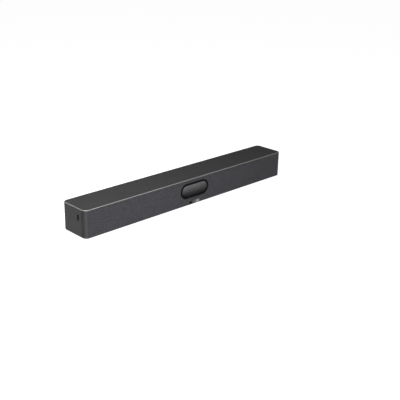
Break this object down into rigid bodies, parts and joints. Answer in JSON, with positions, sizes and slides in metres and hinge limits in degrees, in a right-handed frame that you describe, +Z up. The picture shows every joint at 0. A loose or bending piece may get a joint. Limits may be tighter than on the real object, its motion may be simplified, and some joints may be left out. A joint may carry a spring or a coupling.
{
  "type": "conference video bar camera",
  "caption": "Long low conference camera bar with a cloth front, a domed motor-driven privacy visor over its lens, loudspeakers, microphones and a rear socket bay.",
  "frame": {"origin": "on the resting surface, under the middle of the bounding box", "axes": "+X along the bar's length towards its right end as seen from the front, -Y out of the cloth front, +Z up"},
  "size_m": [0.65, 0.088, 0.0675],
  "materials": {
    "housing": "satin dark grey paint",
    "base": "matt",
    "frame": "satin",
    "cloth": "woven",
    "gloss_black": "gloss",
    "visor": "satin gloss",
    "screw_steel": "plated",
    "sheet_metal": "plated sheet",
    "motor_can": "drawn can",
    "white_plastic": "moulded",
    "black_plastic": "matt",
    "lens_glass": "coated",
    "circuit_board": "solder mask",
    "aluminium": "extruded",
    "socket_steel": "plated",
    "button": "satin",
    "basket_steel": "satin",
    "cone": "matt",
    "magnet": "dull",
    "diffuser": "frosted",
    "rubber": "matt",
    "brass": "turned"
  },
  "bodies": {
    "bar": {"top_shell": "housing", "base_plate": "base", "front_frame": "frame", "grille_cloth": "cloth", "lens_bezel": "gloss_black", "bezel_screws": "screw_steel", "hinge_pins": "screw_steel", "camera_bracket": "sheet_metal", "camera_screws": "screw_steel", "visor_motor": "motor_can", "motor_screws": "screw_steel", "lens_panel": "gloss_black", "camera_housing": "black_plastic", "lens_barrel": "black_plastic", "lens_glass": "lens_glass", "sensor_board": "circuit_board", "main_board": "circuit_board", "board_screws": "screw_steel", "heat_sink": "aluminium", "bay_surround": "black_plastic", "io_plate": "black_plastic", "power_inlet": "black_plastic", "lan_socket": "socket_steel", "hdmi_sockets": "socket_steel", "usb_a_socket": "socket_steel", "usb_c_socket": "socket_steel", "audio_socket": "black_plastic", "power_switch": "black_plastic", "side_usb_collar": "black_plastic", "side_usb_socket": "socket_steel", "side_usb_board": "circuit_board", "speaker_box_left": "black_plastic", "speaker_box_right": "black_plastic", "driver_frame_left": "basket_steel", "driver_frame_right": "basket_steel", "driver_cone_left": "cone", "driver_cone_right": "cone", "driver_magnet_left": "magnet", "driver_magnet_right": "magnet", "driver_screws": "screw_steel", "mic_board_left": "circuit_board", "mic_board_right": "circuit_board", "antenna_left": "circuit_board", "antenna_right": "circuit_board", "status_board": "circuit_board", "ir_window": "gloss_black", "status_light": "diffuser", "rubber_feet": "rubber", "base_screws": "screw_steel", "tripod_insert": "brass", "wall_inserts": "brass"},
    "visor": {"privacy_visor": "visor"},
    "drive": {"motor_shaft": "screw_steel", "drive_pinion": "white_plastic"},
    "button": {"power_button": "button"}
  },
  "joints": [
    {"name": "visor_turn", "type": "hinge", "parent": "bar", "child": "visor", "pos_m": [0, -0.014, 0.0389], "axis": [1, 0, 0], "range_deg": [0, 66]},
    {"name": "pinion_turn", "type": "hinge", "parent": "bar", "child": "drive", "pos_m": [0.0475, 0.00184, 0.05474], "axis": [1, 0, 0], "range_deg": [-165, 0]},
    {"name": "power_press", "type": "slide", "parent": "bar", "child": "button", "axis": [0, -1, 0], "range_m": [0, 0.0008], "stiffness_N_per_m": 1500, "springref_m": -0.0004}
  ],
  "couplings": [
    {"joint": "pinion_turn", "follows": "visor_turn", "ratio": -2.5}
  ]
}
